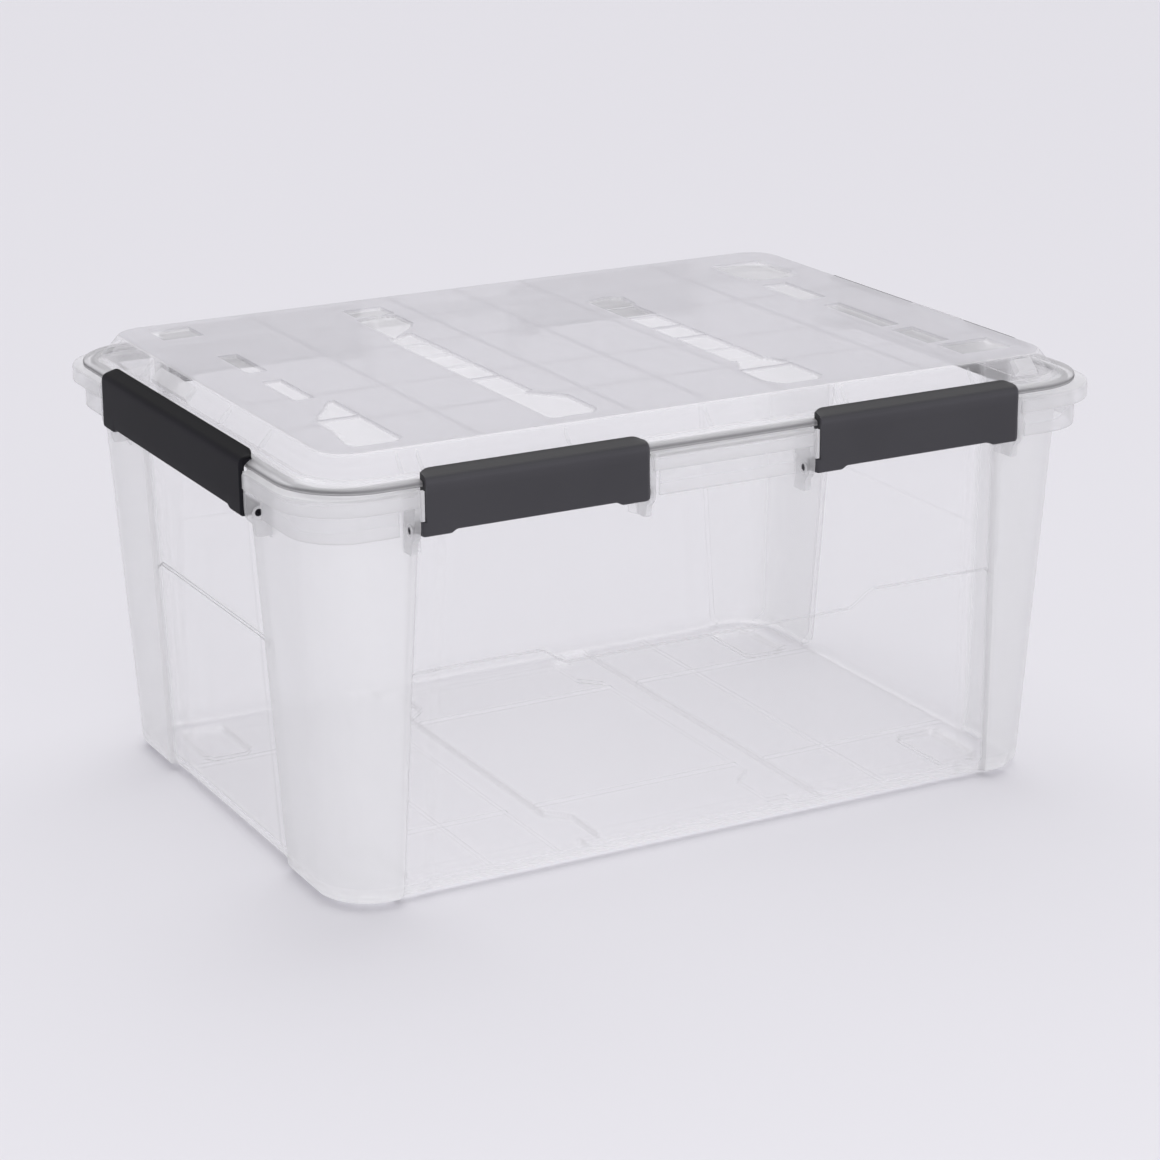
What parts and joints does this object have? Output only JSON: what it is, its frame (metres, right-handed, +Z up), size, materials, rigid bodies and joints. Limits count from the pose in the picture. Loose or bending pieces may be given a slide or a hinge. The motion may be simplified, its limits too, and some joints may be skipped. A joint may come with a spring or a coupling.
{
  "type": "stackable storage bin",
  "caption": "Clear stackable storage bin with a latched, gasketed lid: tapered tub with corner pillars, charcoal over-centre latches on every side, raised lid with stacking tracks.",
  "frame": {"origin": "on the floor, under the middle of the bin: the centre of the bounding box in plan, at its lowest height", "axes": "+X along the long side (to the right seen from the front), +Y from the front to the back, +Z up"},
  "size_m": [0.6, 0.438, 0.302],
  "materials": {
    "clear_tub": "clear moulded polypropylene",
    "clear_lid": "slightly milky moulded polypropylene",
    "seal": "soft grey gasket",
    "latch": "charcoal satin plastic"
  },
  "bodies": {
    "tub_body": {"tub": "clear_tub"},
    "lid_body": {"lid": "clear_lid", "lid_seal": "seal"},
    "latch_front_left_body": {"latch_front_left": "latch"},
    "latch_front_right_body": {"latch_front_right": "latch"},
    "latch_back_left_body": {"latch_back_left": "latch"},
    "latch_back_right_body": {"latch_back_right": "latch"},
    "latch_left_body": {"latch_left": "latch"},
    "latch_right_body": {"latch_right": "latch"}
  },
  "joints": [
    {"name": "lid_lift", "type": "slide", "parent": "tub_body", "child": "lid_body", "axis": [0, 0, 1], "range_m": [0, 0.038]},
    {"name": "latch_front_left_pivot", "type": "hinge", "parent": "tub_body", "child": "latch_front_left_body", "pos_m": [-0.1413, -0.2095, 0.255], "axis": [1, 0, 0], "range_deg": [0, 110]},
    {"name": "latch_front_right_pivot", "type": "hinge", "parent": "tub_body", "child": "latch_front_right_body", "pos_m": [0.1413, -0.2095, 0.255], "axis": [1, 0, 0], "range_deg": [0, 110]},
    {"name": "latch_back_left_pivot", "type": "hinge", "parent": "tub_body", "child": "latch_back_left_body", "pos_m": [-0.1413, 0.2095, 0.255], "axis": [-1, 0, 0], "range_deg": [0, 110]},
    {"name": "latch_back_right_pivot", "type": "hinge", "parent": "tub_body", "child": "latch_back_right_body", "pos_m": [0.1413, 0.2095, 0.255], "axis": [-1, 0, 0], "range_deg": [0, 110]},
    {"name": "latch_left_pivot", "type": "hinge", "parent": "tub_body", "child": "latch_left_body", "pos_m": [-0.2905, 0, 0.255], "axis": [0, -1, 0], "range_deg": [0, 110]},
    {"name": "latch_right_pivot", "type": "hinge", "parent": "tub_body", "child": "latch_right_body", "pos_m": [0.2905, 0, 0.255], "axis": [0, 1, 0], "range_deg": [0, 110]}
  ],
  "couplings": [
    {"joint": "latch_front_left_pivot", "follows": "lid_lift", "rad_per_m": 50.52},
    {"joint": "latch_front_right_pivot", "follows": "lid_lift", "rad_per_m": 50.52},
    {"joint": "latch_back_left_pivot", "follows": "lid_lift", "rad_per_m": 50.52},
    {"joint": "latch_back_right_pivot", "follows": "lid_lift", "rad_per_m": 50.52},
    {"joint": "latch_left_pivot", "follows": "lid_lift", "rad_per_m": 50.52},
    {"joint": "latch_right_pivot", "follows": "lid_lift", "rad_per_m": 50.52}
  ]
}
